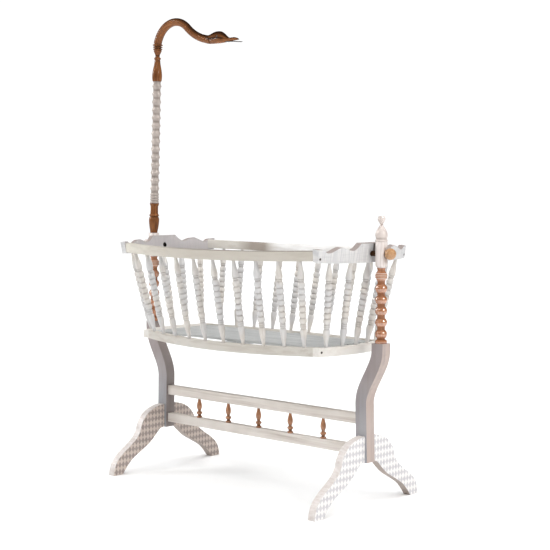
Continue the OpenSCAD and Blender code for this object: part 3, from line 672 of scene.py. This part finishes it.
def post_outline(low, high, dowel_low, dowel_high):
    """Base ring, five balls, a grooved bead and a flared neck."""
    line = [(8 * MM, dowel_low), (8 * MM, low), (17.8 * MM, low)]
    line += small_ring(low + 4.6 * MM, 18.5 * MM, 17.2 * MM, 4.2 * MM, 6)
    line += smooth_line([(17 * MM, low + 9 * MM), (14 * MM, low + 11.5 * MM), (11.8 * MM, low + 14 * MM)], 3)
    for z in POST_BEADS:
        line += bead(z, POST_BEAD_R, POST_NECK_R, POST_BEAD_HALF, 16)
    line += [(11.4 * MM, RINGED_BEAD_Z - 22 * MM)]
    line += smooth_line([(11.4 * MM, RINGED_BEAD_Z - 19 * MM), (12.4 * MM, RINGED_BEAD_Z - 15 * MM),
                         (14.6 * MM, RINGED_BEAD_Z - 11.4 * MM), (17.2 * MM, RINGED_BEAD_Z - 7.4 * MM)], 4)
    for offset, radius in ((-4.7, 18.1), (0, 18.6), (4.7, 18.1)):
        line += small_ring(RINGED_BEAD_Z + offset * MM, radius * MM, (radius - 1.5) * MM, 2.2 * MM, 6)
    line += smooth_line([(17 * MM, RINGED_BEAD_Z + 7.4 * MM), (13.6 * MM, RINGED_BEAD_Z + 11.5 * MM),
                         (11.6 * MM, RINGED_BEAD_Z + 15 * MM), (12 * MM, high - 5 * MM), (14 * MM, high)], 4)
    line += [(6.8 * MM, high), (6.8 * MM, dowel_high)]
    return line


def groove_whitening(offset):
    """Whitish tint in the grooves of the ringed bead, by millimetres from its middle."""
    return min(1.0, math.exp(-((offset - 2.35) / 0.9) ** 2) + math.exp(-((offset - 7.2) / 1.0) ** 2))


def make_posts():
    """Both turned posts, and the paint of the bearing blocks on top of them."""
    for end in ("near", "far"):
        node = f"post_turning_{end}"
        low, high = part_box(node)
        leg_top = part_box(f"leg_{end}")[1].z
        block_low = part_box(f"bearing_block_{end}")[0].z
        x = (low.x + high.x) / 2
        outline = post_outline(leg_top, block_low, low.z, high.z)
        part = turned(outline, Vector((x, 0, 0)), Vector((x, 0, 1)), POST_AROUND, POST_GROOVE_REACH)
        part[2]["upper"] = [groove_whitening(abs(point[2] - RINGED_BEAD_Z) / MM) for point in part[0]]
        make_piece(f"turned_{node}", *part, HONEY, "stand", "honey_turnings", [node])
        dress(f"bearing_block_{end}", BLOCK, 0)


def block_paint():
    """Warm white on the bearing blocks, with fine upright turning lines."""
    f = Finish("block_paint")
    spot = f.spot()
    lines = f.noise(f.stretch(spot, (190.0, 190.0, 7.0)), 1.0, 3.0)
    cloud = f.noise(spot, 30.0, 2.0)
    colour = f.mix(f.spread(lines, 0.45, 0.65), tone("#e0d7d3"), tone("#c4b8b1"))
    colour = f.mix(f.spread(cloud, 0.4, 0.7, 0.0, 0.3), colour, tone("#d0c6c0"))
    f.dent(lines, 0.3, 0.0006)
    return f.finish(colour, f.spread(cloud, 0.3, 0.7, 0.34, 0.46), Specular_IOR_Level=0.45)


BLOCK = block_paint()
FINIAL = painted_turning("finial_paint", "#d5cac4", "#bfb2ab", "#8b7c74", 0.3)


def make_finial():
    """Collar, cove, pointed onion, thin neck and a flat-topped bud."""
    low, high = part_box("finial")
    block_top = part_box("bearing_block_near")[1].z
    x = (low.x + high.x) / 2
    line = [(5 * MM, low.z - block_top), (5 * MM, 0), (17 * MM, 0.2 * MM)]
    line += small_ring(3.4 * MM, 18.7 * MM, 17 * MM, 3.1 * MM, 6)
    onion = [(16, 6.8), (15.6, 8), (17, 11.5), (18.4, 17), (18.5, 21.5), (17.4, 27.5),
             (14.2, 35), (10, 41.5), (6.4, 46.5), (4.6, 50.5), (4.4, 52.5)]
    line += smooth_line(scaled(onion), 4)
    bud = [(5, 54.5), (7, 57.5), (9.8, 61.5), (11.4, 66.5), (11, 71)]
    line += smooth_line(scaled(bud), 4)
    line += scaled([(9.4, 75), (8.6, 76.2), (5.5, 77), (0.6, 77.4)])
    part = turned(line, Vector((x, 0, block_top)), Vector((x, 0, block_top + 1)), 48)
    make_piece("turned_finial", *part, FINIAL, "stand", "white_turnings", ["finial"])


PEG_AROUND = 40
PEG_STEPS = 18


def make_pegs():
    """Ball knob on a plain pin; the pin and its end are painted near-black as painted shade where they sit
    in the panel's hole.
    """
    ball_r = 17.5 * MM
    pin_r = 8 * MM
    tip = 2 * PEG_AROUND
    pin = 3 * PEG_AROUND
    for end, way in (("near", 1), ("far", -1)):
        node = f"pivot_peg_{end}"
        low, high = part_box(node)
        middle = (low + high) / 2
        inner, outer = (low.x, high.x) if way > 0 else (high.x, low.x)
        length = abs(outer - inner)
        shoulder = abs(inner - (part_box(f"bearing_block_{end}")[1 if way > 0 else 0].x)) + 0.4 * MM
        centre = length - ball_r
        line = [(pin_r - 1 * MM, 0), (pin_r, 1 * MM), (pin_r, shoulder)]
        start = math.asin(min(1.0, (centre - shoulder) / ball_r))
        for i in range(PEG_STEPS + 1):
            angle = -start + (math.pi / 2 + start) * i / PEG_STEPS
            line.append((max(0.4 * MM, ball_r * math.cos(angle)), centre + ball_r * math.sin(angle)))
        foot = Vector((inner, middle.y, middle.z))
        points, faces, values = turned(line, foot, foot + Vector((way, 0, 0)), PEG_AROUND)
        # Painted shade: the two end rings of the pin take the darkest groove colour.
        values["hollow"] = [1.0 if i < tip else h for i, h in enumerate(values["hollow"])]
        # Painted shade: the pin rings take the near-black pin colour.
        values["upper"] = [1.0 if i < pin else 0.0 for i in range(len(points))]
        make_piece(f"turned_{node}", points, faces, values, OAK if end == "near" else PALE_KNOB,
                   f"peg_{end}", "oak_pegs", [node])


# ---- swan pole -------------------------------------------------------------

POLE_AXIS = Vector(JOINTS["pole_swivel"]["axis"]).normalized()
POLE_FOOT = Vector(JOINTS["pole_swivel"]["pos_m"])
POLE_SIDE = Vector((POLE_AXIS.z, 0, -POLE_AXIS.x))
# Heights up the pole from its foot, in millimetres
BASE_TOP = 104
SHAFT_TOP = 527.5
BALUSTER_TOP = 656.5
FIRST_BOBBIN = 156
BOBBIN_PITCH = 27.3
BOBBINS = 14
POLE_AROUND = 40


def on_pole(x, y, z):
    """Point at x along the swan's reach, y across it and z up the pole, in metres."""
    return POLE_FOOT + POLE_SIDE * x + Vector((0, y, 0)) + POLE_AXIS * z


def pole_turning(name, outline, material, slot, nodes, reach=9 * MM):
    part = turned(outline, POLE_FOOT, POLE_FOOT + POLE_AXIS, POLE_AROUND, reach)
    make_piece(name, *part, material, "swan_pole", slot, nodes)


def make_pole():
    """Brown foot vase, white bobbin shaft and brown baluster with its collar of rings."""
    lower = [(12.5, 0.4), (14, 10), (16.3, 24), (17.8, 40), (17.6, 49), (16.4, 54), (14.2, 57)]
    collar = [(14, 57.6), (16.6, 59.4), (17, 61.5), (16.4, 63.6), (14.2, 66)]
    cuff = [(13.6, 67.5), (13.2, 80), (13.4, 92), (14.6, 96.5), (15.8, 99.5), (16.1, BASE_TOP)]
    line = [(7 * MM, -22 * MM), (7 * MM, 0)]
    for knots in (lower, collar, cuff):
        line += smooth_line(scaled(knots), 4)
    line += scaled([(5.5, BASE_TOP), (5.5, BASE_TOP + 18)])
    pole_turning("turned_pole_base", line, WALNUT, "walnut_swan", ["pole_base"])

    line = scaled([(5.6, BASE_TOP), (13, BASE_TOP)])
    for i in range(4):
        line += small_ring((BASE_TOP + 4 + 9 * i) * MM, 15.3 * MM, 13 * MM, 3.6 * MM, 6)
    line += scaled([(13, BASE_TOP + 36)])
    for i in range(BOBBINS):
        line += bobbin((FIRST_BOBBIN + i * BOBBIN_PITCH) * MM, 16 * MM, 12.4 * MM, 0.46 * BOBBIN_PITCH * MM)
    line += scaled([(13, SHAFT_TOP - 5), (13.6, SHAFT_TOP - 1), (13.4, SHAFT_TOP), (5.5, SHAFT_TOP)])
    pole_turning("turned_pole_shaft", line, WHITE, "white_turnings", ["pole_shaft"], 14 * MM)

    vase = [(15, 0.5), (16.2, 5), (17, 13), (17.1, 22), (15.8, 35), (13.2, 49), (10.8, 62), (9.7, 74)]
    ring = [(9.8, 75), (11.4, 77.2), (11.8, 79), (11.2, 80.8), (8.6, 83)]
    cup = [(7.6, 85), (7.5, 88.4), (9.2, 94), (12.6, 101.5), (13.8, 105.6), (13.2, 108)]
    line = scaled([(5.5, SHAFT_TOP)])
    for knots in (vase, ring, cup):
        line += smooth_line(scaled(knots, SHAFT_TOP * MM), 4)
    line += small_ring((SHAFT_TOP + 111) * MM, 16.4 * MM, 11.4 * MM, 2.4 * MM, 6)
    line += small_ring((SHAFT_TOP + 117.8) * MM, 16.8 * MM, 11.4 * MM, 2.4 * MM, 6)
    line += small_ring((SHAFT_TOP + 125) * MM, 18 * MM, 12 * MM, 2.6 * MM, 6)
    line += scaled([(14.2, BALUSTER_TOP), (5.5, BALUSTER_TOP)])
    pole_turning("turned_pole_baluster", line, WALNUT, "walnut_swan", ["pole_baluster"])


# The neck's middle line is two arcs, as in the CAD: a round crown, then a sweep to the head.
# These and the head's sizes are in millimetres, x out from the pole and z up it.
CROWN_X, CROWN_Z, CROWN_R = 89, 636, 92
CROWN_FALL = math.radians(40)
SWEEP_R = 43.5 / (1 - math.cos(CROWN_FALL))
HEAD_X = CROWN_X + (CROWN_R + SWEEP_R) * math.sin(CROWN_FALL)
HEAD_Z = CROWN_Z + (CROWN_R + SWEEP_R) * math.cos(CROWN_FALL) - SWEEP_R
BILL_TIP_X = 395
SWAN_AROUND = 56
CROWN_STEPS = 44
SWEEP_STEPS = 26
HEAD_STEPS = 85


def along_line(knots, x):
    """Height of a smooth line through (x, value) knots at x."""
    line = smooth_line([(value, at) for at, value in knots], 12)
    return float(np.interp(x, [p[1] for p in line], [p[0] for p in line]))


# Upper edge, lower edge and half width of the head and bill, by distance out from the pole
HEAD_TOP = [(236, 679.5), (252, 677.2), (267, 681.5), (283, 687), (299, 688.8), (314, 687), (328, 679.6),
            (339, 671.8), (350, 666), (360, 666.2), (372, 666.8), (384, 664.6), (391, 661.8), (395, 659.6)]
HEAD_LOW = [(236, 651.6), (252, 648.8), (267, 647.8), (299, 648.4), (321, 649.6), (339, 651.4), (352, 653),
            (372, 655.4), (384, 656.6), (391, 657.6), (395, 658.6)]
HEAD_WIDE = [(236, 13.4), (252, 13.8), (267, 14.4), (285, 16.2), (302, 16.8), (316, 15.4), (330, 11.4),
             (341, 8.4), (352, 7), (368, 6.8), (384, 6), (391, 4.4), (395, 1.6)]
# The carved channel that parts the skull from the throat
CHANNEL_HALF = 3.4
CHANNEL_FADE_IN = (232, 262)
CHANNEL_FADE_OUT = (322, 336)
CHANNEL_PRESS = 0.15
CHANNEL = [(232, 675.5), (250, 669.5), (268, 664.6), (285, 664.6), (300, 665.2), (318, 664.8), (334, 663)]


def swan_station(x, z, tilt, up, down, side, groove):
    """One ring of the swan about its middle line, with the channel pressed in by groove."""
    points, hollow, upper = [], [], []
    along = (math.cos(tilt), math.sin(tilt))
    channel = along_line(CHANNEL, x)
    for j in range(SWAN_AROUND):
        angle = math.tau * j / SWAN_AROUND
        rise = math.cos(angle) * (up if math.cos(angle) > 0 else down)
        across = math.sin(angle) * side
        at_x = x - rise * along[1]
        at_z = z + rise * along[0]
        dip = groove * math.exp(-((at_z - channel) / CHANNEL_HALF) ** 2)
        points.append(on_pole(at_x * MM, across * (1 - CHANNEL_PRESS * dip) * MM, at_z * MM))
        # The channel's depth, which the walnut darkens as painted shade in the channel.
        hollow.append(dip)
        # How much this point faces up, which the walnut darkens as painted shade.
        upper.append(max(0.0, math.cos(angle)) * max(0.0, along[0]))
    return points, hollow, upper


def ramp(x, start, end):
    """Smooth rise from 0 at start to 1 at end."""
    t = min(1.0, max(0.0, (x - start) / (end - start)))
    return t * t * (3 - 2 * t)


def swan_stations():
    """Middle line and radii of the whole swan, from the baluster to the tip of the bill."""
    stations = []
    rise = math.asin((BALUSTER_TOP - CROWN_Z) / CROWN_R)
    for i in range(CROWN_STEPS + 1):
        angle = math.pi - rise - (math.pi / 2 - rise + CROWN_FALL) * i / CROWN_STEPS
        x = CROWN_X + CROWN_R * math.cos(angle)
        z = CROWN_Z + CROWN_R * math.sin(angle)
        radius = 14 - 1.1 * i / CROWN_STEPS
        stations.append((x, z, angle - math.pi / 2, radius, radius, radius))
    for i in range(1, SWEEP_STEPS):
        angle = CROWN_FALL * (1 - i / SWEEP_STEPS)
        x = HEAD_X - SWEEP_R * math.sin(angle)
        z = HEAD_Z + SWEEP_R * (1 - math.cos(angle))
        blend = ramp(x, 226, 256)
        radius = 12.9 + 0.6 * i / SWEEP_STEPS
        up = radius + blend * (along_line(HEAD_TOP, x) - z - radius)
        down = radius + blend * (z - along_line(HEAD_LOW, x) - radius)
        side = radius + blend * (along_line(HEAD_WIDE, x) - radius)
        stations.append((x, z, -angle, up, down, side))
    for i in range(HEAD_STEPS + 1):
        x = HEAD_X + (BILL_TIP_X - HEAD_X) * i / HEAD_STEPS
        top, low = along_line(HEAD_TOP, x), along_line(HEAD_LOW, x)
        z = HEAD_Z + ramp(x, HEAD_X, 350) * ((top + low) / 2 - HEAD_Z)
        stations.append((x, z, 0.0, top - z, z - low, along_line(HEAD_WIDE, x)))
    return stations


SEAM_DEPTH = 1 * MM
NECK_R = 14 * MM


def swan_part(stations, seam):
    """Loft through stations; the lower half of the ring numbered seam is drawn in as a joint line."""
    points, hollow, upper, grain = [], [], [], []
    run = 0.0
    before = None
    for number, (x, z, tilt, up, down, side) in enumerate(stations):
        groove = ramp(x, *CHANNEL_FADE_IN) * (1 - ramp(x, *CHANNEL_FADE_OUT))
        ring, dips, tops = swan_station(x, z, tilt, up, down, side, groove)
        if number == seam:
            centre = on_pole(x * MM, 0, z * MM)
            for j in range(SWAN_AROUND):
                if math.cos(math.tau * j / SWAN_AROUND) < 0.1:
                    ring[j] = ring[j] + (centre - ring[j]).normalized() * SEAM_DEPTH
                    dips[j] = 1.0
        if before is not None:
            run += math.dist(before, (x, z)) * MM
        before = (x, z)
        for j in range(SWAN_AROUND):
            angle = math.tau * j / SWAN_AROUND
            grain.append((NECK_R * math.cos(angle), NECK_R * math.sin(angle), run))
        points += ring
        hollow += dips
        upper += tops
    return points, ring_faces(len(stations), SWAN_AROUND), {"grain": grain, "hollow": hollow, "upper": upper}


def make_swan():
    """Neck and head, parted where the sweep ends."""
    stations = swan_stations()
    joint = min(range(len(stations)), key=lambda i: abs(stations[i][0] - HEAD_X))
    neck = swan_part(stations[:joint + 1], joint)
    head = swan_part(stations[joint:], 0)
    make_piece("carved_swan_neck", *neck, WALNUT, "swan_pole", "walnut_swan", ["swan_neck"])
    make_piece("carved_swan_head", *head, WALNUT, "swan_pole", "walnut_swan", ["swan_head"])


LOWER_BILL_X = 336
LOWER_BILL_REACH = 75
LOWER_BILL_STEPS = 30
LOWER_BILL_AROUND = 20


def make_lower_bill():
    """Thin dark lower bill that reaches past the upper one."""
    top = [(336, 655), (350, 654), (370, 654.2), (390, 653), (404, 652.2), (411, 650.6)]
    low = [(336, 651.4), (350, 651.6), (370, 651.2), (390, 649.8), (404, 649), (411, 649.4)]
    wide = [(336, 6.4), (350, 6), (370, 5), (390, 3.6), (404, 2.6), (411, 1)]
    points, grain, hollow = [], [], []
    for i in range(LOWER_BILL_STEPS + 1):
        x = LOWER_BILL_X + LOWER_BILL_REACH * i / LOWER_BILL_STEPS
        high, deep, side = along_line(top, x), along_line(low, x), along_line(wide, x)
        for j in range(LOWER_BILL_AROUND):
            angle = math.tau * j / LOWER_BILL_AROUND
            z = (high + deep) / 2 + (high - deep) / 2 * math.cos(angle)
            points.append(on_pole(x * MM, side * math.sin(angle) * MM, z * MM))
            grain.append((side * MM * math.cos(angle), side * MM * math.sin(angle), x * MM))
            hollow.append(0.0)
    faces = ring_faces(LOWER_BILL_STEPS + 1, LOWER_BILL_AROUND)
    part = (points, faces, {"grain": grain, "hollow": hollow})
    make_piece("carved_lower_bill", *part, EBONY, "swan_pole", "dark_bill", ["swan_lower_bill"])


def make_eyes():
    """A small glossy bead on each side of the head, just above the channel."""
    eye_x, eye_z = 306, 671
    eye_r = 3.4 * MM
    sunk = 1.9
    half_width = along_line(HEAD_WIDE, eye_x)
    line = [(eye_r * math.cos(a), eye_r * math.sin(a)) for a in np.linspace(-0.9, 1.5, 9)]
    parts = []
    for side in (-1, 1):
        centre = on_pole(eye_x * MM, side * (half_width - sunk) * MM, eye_z * MM)
        parts.append(turned(line, centre, centre + Vector((0, side, 0)), 20))
    make_piece("swan_eyes", *joined(parts), EBONY, "swan_pole", "dark_bill")


make_basket_spindles()
make_stretcher_spindles()
make_posts()
make_finial()
make_pegs()
make_pole()
make_swan()
make_lower_bill()
make_eyes()


# ---- studio ----------------------------------------------------------------

CAMERA_TARGET = Vector((0.0733, 0, 0.6929))
CAMERA_AWAY = 4.2334
CAMERA_TURN = math.radians(42.81)
CAMERA_DIP = math.radians(3.74)
CAMERA_LENS = 85.9


def make_camera():
    """Camera about a metre up, to the right of the front, that looks slightly down."""
    look = Vector((
        -math.sin(CAMERA_TURN) * math.cos(CAMERA_DIP),
        math.cos(CAMERA_TURN) * math.cos(CAMERA_DIP),
        -math.sin(CAMERA_DIP)))
    data = bpy.data.cameras.new("camera")
    data.lens = CAMERA_LENS
    camera = bpy.data.objects.new("camera", data)
    camera.location = CAMERA_TARGET - look * CAMERA_AWAY
    camera.rotation_euler = look.to_track_quat("-Z", "Y").to_euler()
    bpy.context.scene.collection.objects.link(camera)
    bpy.context.scene.camera = camera


def soft_box(name, place, aim, size, power, tint=(1, 1, 1)):
    """Rectangular lamp at place, turned to face aim; size in metres, power in watts."""
    data = bpy.data.lights.new(name, "AREA")
    data.shape = "RECTANGLE"
    data.size, data.size_y = size
    data.energy = power
    data.color = tint
    lamp = bpy.data.objects.new(name, data)
    lamp.location = place
    lamp.rotation_euler = (Vector(aim) - Vector(place)).to_track_quat("-Z", "Y").to_euler()
    bpy.context.scene.collection.objects.link(lamp)


def make_sky_light():
    """Broad even light from overhead that keeps the floor white under the stand."""
    data = bpy.data.lights.new("overhead", "SUN")
    data.energy = 3.1
    data.angle = math.radians(80)
    lamp = bpy.data.objects.new("overhead", data)
    lamp.rotation_euler = (0, math.radians(10), 0)
    lamp.visible_glossy = False
    bpy.context.scene.collection.objects.link(lamp)


def make_floor():
    """Wide pale floor."""
    mesh = bpy.data.meshes.new("floor")
    reach = 12.0
    mesh.from_pydata([(-reach, -reach, 0), (reach, -reach, 0), (reach, reach, 0), (-reach, reach, 0)],
                     [], [(0, 1, 2, 3)])
    f = Finish("pale_floor")
    cloud = f.noise(f.spot(), 2.0, 2.0)
    mesh.materials.append(f.finish(f.mix(cloud, tone("#fdfdfd"), tone("#fafaf9")), 0.9,
                                   Specular_IOR_Level=0.1))
    floor = bpy.data.objects.new("floor", mesh)
    bpy.context.scene.collection.objects.link(floor)


# Directions of the two round bright windows that only glossy reflections see
WINDOWS = [(0.98, 0.1, 0.6), (-0.78, -0.62, 0.6)]
WINDOW_SPREAD = math.radians(10)
WINDOW_GLARE = 26
DIM_GLARE = 0.08
BACKDROP_STRENGTH = 1.05
FILL_STRENGTH = 0.36


def reflected_glare(tree):
    """Strength of the reflected surroundings: dim, but bright towards each window."""
    toward = tree.nodes.new("ShaderNodeTexCoord").outputs["Generated"]
    glare = tree.nodes.new("ShaderNodeValue").outputs[0]
    glare.default_value = DIM_GLARE
    for place in WINDOWS:
        angle = tree.nodes.new("ShaderNodeVectorMath")
        angle.operation = "DOT_PRODUCT"
        tree.links.new(toward, angle.inputs[0])
        angle.inputs[1].default_value = Vector(place).normalized()
        pane = tree.nodes.new("ShaderNodeMapRange")
        pane.inputs["From Min"].default_value = math.cos(WINDOW_SPREAD)
        pane.inputs["From Max"].default_value = math.cos(WINDOW_SPREAD * 0.8)
        pane.inputs["To Max"].default_value = WINDOW_GLARE
        tree.links.new(angle.outputs["Value"], pane.inputs["Value"])
        total = tree.nodes.new("ShaderNodeMath")
        total.operation = "ADD"
        tree.links.new(pane.outputs["Result"], total.inputs[0])
        tree.links.new(glare, total.inputs[1])
        glare = total.outputs[0]
    return glare


def make_world():
    """White surroundings: plain white behind the object, gentler as a light, dim in reflections."""
    world = bpy.data.worlds.new("studio")
    world.use_nodes = True
    tree = world.node_tree
    tree.nodes.clear()
    output = tree.nodes.new("ShaderNodeOutputWorld")
    seen = tree.nodes.new("ShaderNodeBackground")
    seen.inputs["Color"].default_value = (1, 1, 1, 1)
    seen.inputs["Strength"].default_value = BACKDROP_STRENGTH
    fill = tree.nodes.new("ShaderNodeBackground")
    fill.inputs["Color"].default_value = (0.95, 0.97, 1, 1)
    fill.inputs["Strength"].default_value = FILL_STRENGTH
    mirrored = tree.nodes.new("ShaderNodeBackground")
    mirrored.inputs["Color"].default_value = (1, 0.98, 0.96, 1)
    tree.links.new(reflected_glare(tree), mirrored.inputs["Strength"])
    path = tree.nodes.new("ShaderNodeLightPath")
    by_gloss = tree.nodes.new("ShaderNodeMixShader")
    tree.links.new(path.outputs["Is Glossy Ray"], by_gloss.inputs[0])
    tree.links.new(fill.outputs[0], by_gloss.inputs[1])
    tree.links.new(mirrored.outputs[0], by_gloss.inputs[2])
    choose = tree.nodes.new("ShaderNodeMixShader")
    tree.links.new(path.outputs["Is Camera Ray"], choose.inputs[0])
    tree.links.new(by_gloss.outputs[0], choose.inputs[1])
    tree.links.new(seen.outputs[0], choose.inputs[2])
    tree.links.new(choose.outputs[0], output.inputs["Surface"])
    bpy.context.scene.world = world


make_camera()
make_floor()
make_world()
make_sky_light()
soft_box("key_right", (3.4, -0.5, 2.3), (0, 0, 0.6), (0.4, 0.45), 26, (1, 0.98, 0.95))
soft_box("fill_left", (-3.4, -1.8, 2.1), (0, 0, 0.8), (0.4, 0.5), 38)
soft_box("sparkle", (0.2, -3.6, 2.9), (0, 0, 0.7), (0.3, 0.35), 9)
bpy.context.scene.view_settings.view_transform = "Standard"
